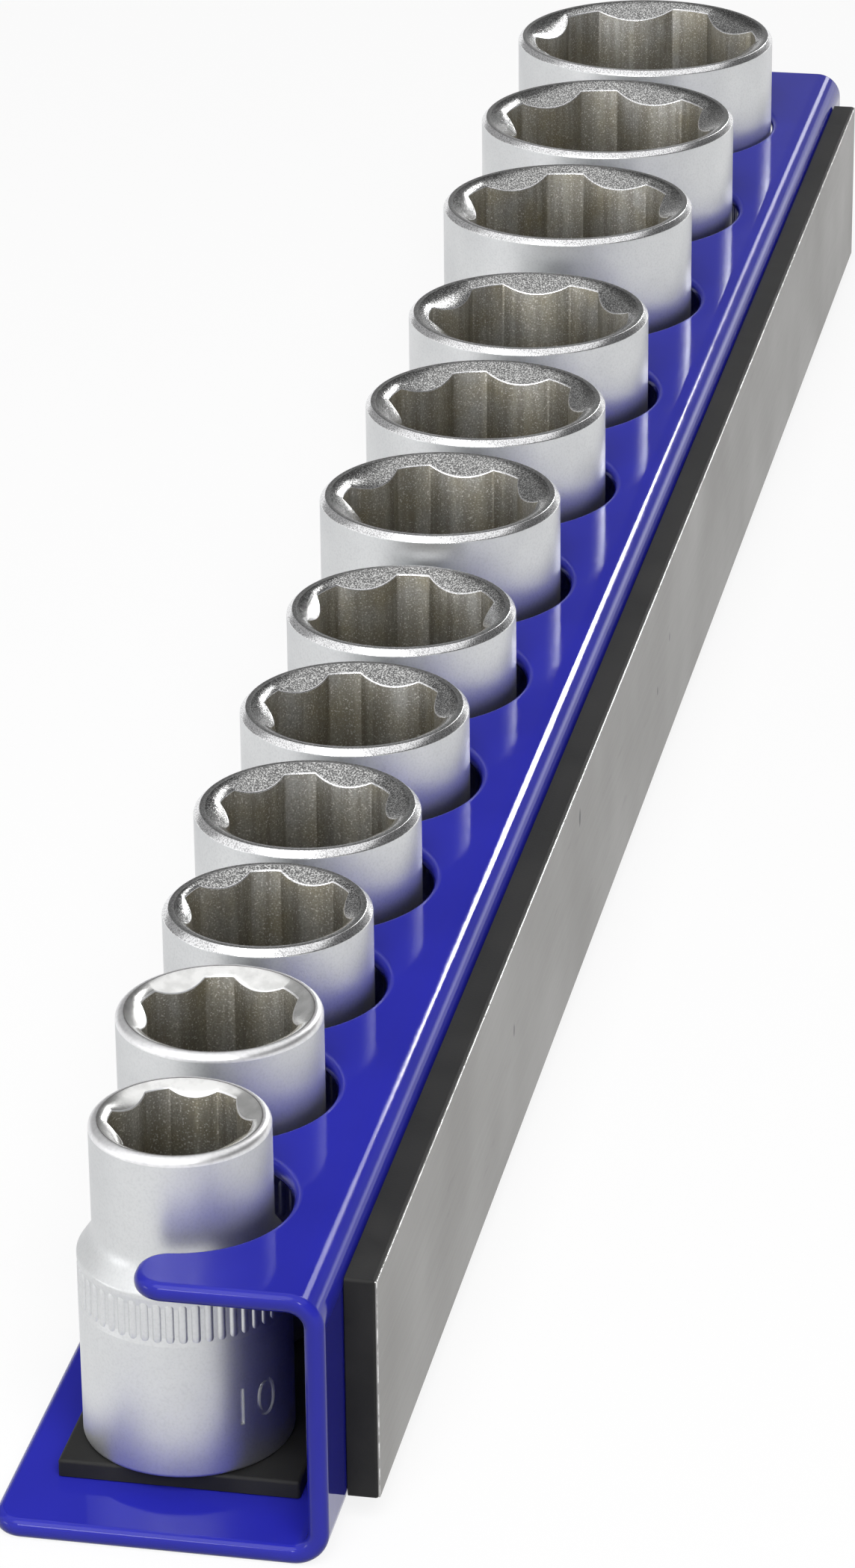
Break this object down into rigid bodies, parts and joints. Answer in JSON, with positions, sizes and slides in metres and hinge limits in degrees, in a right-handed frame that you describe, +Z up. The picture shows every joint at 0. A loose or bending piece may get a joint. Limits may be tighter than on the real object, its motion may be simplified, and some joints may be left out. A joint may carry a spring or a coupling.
{
  "type": "socket rail",
  "caption": "Magnetic socket storage rail: a bent blue steel channel with scalloped top flange, magnet strips below and behind, and graded hex sockets standing mouth up.",
  "frame": {"origin": "under the middle of the whole part, on the surface that the rail stands on", "axes": "+Z up, out of the socket mouths; +Y along the rail from the smallest socket to the largest; +X out of the back, where the magnet strip holds"},
  "size_m": [0.0408, 0.3244, 0.036],
  "materials": {
    "rail_paint": "gloss blue enamel on bent steel sheet",
    "bonding_tape": "thin double-sided tape",
    "black_magnet": "matt black rubber-bonded magnet",
    "face_steel": "satin grey, lightly brushed",
    "satin_chrome": "satin chrome with brighter rims and dark broached insides"
  },
  "bodies": {
    "rail": {"rail_channel": "rail_paint", "base_strip_tape": "bonding_tape", "base_magnet_strip": "black_magnet", "back_strip_tape": "bonding_tape", "back_magnet_strip": "black_magnet", "back_face_sheet": "face_steel"},
    "socket_10mm": {"socket_10mm": "satin_chrome"},
    "socket_12mm": {"socket_12mm": "satin_chrome"},
    "socket_13mm": {"socket_13mm": "satin_chrome"},
    "socket_14mm": {"socket_14mm": "satin_chrome"},
    "socket_15mm": {"socket_15mm": "satin_chrome"},
    "socket_16mm": {"socket_16mm": "satin_chrome"},
    "socket_17mm": {"socket_17mm": "satin_chrome"},
    "socket_18mm": {"socket_18mm": "satin_chrome"},
    "socket_19mm": {"socket_19mm": "satin_chrome"},
    "socket_21mm": {"socket_21mm": "satin_chrome"},
    "socket_22mm": {"socket_22mm": "satin_chrome"},
    "socket_24mm": {"socket_24mm": "satin_chrome"}
  },
  "joints": [
    {"name": "lift_10mm", "type": "slide", "parent": "rail", "child": "socket_10mm", "axis": [0, 0, 1], "range_m": [0, 0.036]},
    {"name": "lift_12mm", "type": "slide", "parent": "rail", "child": "socket_12mm", "axis": [0, 0, 1], "range_m": [0, 0.036]},
    {"name": "lift_13mm", "type": "slide", "parent": "rail", "child": "socket_13mm", "axis": [0, 0, 1], "range_m": [0, 0.036]},
    {"name": "lift_14mm", "type": "slide", "parent": "rail", "child": "socket_14mm", "axis": [0, 0, 1], "range_m": [0, 0.036]},
    {"name": "lift_15mm", "type": "slide", "parent": "rail", "child": "socket_15mm", "axis": [0, 0, 1], "range_m": [0, 0.036]},
    {"name": "lift_16mm", "type": "slide", "parent": "rail", "child": "socket_16mm", "axis": [0, 0, 1], "range_m": [0, 0.036]},
    {"name": "lift_17mm", "type": "slide", "parent": "rail", "child": "socket_17mm", "axis": [0, 0, 1], "range_m": [0, 0.036]},
    {"name": "lift_18mm", "type": "slide", "parent": "rail", "child": "socket_18mm", "axis": [0, 0, 1], "range_m": [0, 0.036]},
    {"name": "lift_19mm", "type": "slide", "parent": "rail", "child": "socket_19mm", "axis": [0, 0, 1], "range_m": [0, 0.036]},
    {"name": "lift_21mm", "type": "slide", "parent": "rail", "child": "socket_21mm", "axis": [0, 0, 1], "range_m": [0, 0.036]},
    {"name": "lift_22mm", "type": "slide", "parent": "rail", "child": "socket_22mm", "axis": [0, 0, 1], "range_m": [0, 0.036]},
    {"name": "lift_24mm", "type": "slide", "parent": "rail", "child": "socket_24mm", "axis": [0, 0, 1], "range_m": [0, 0.036]}
  ]
}
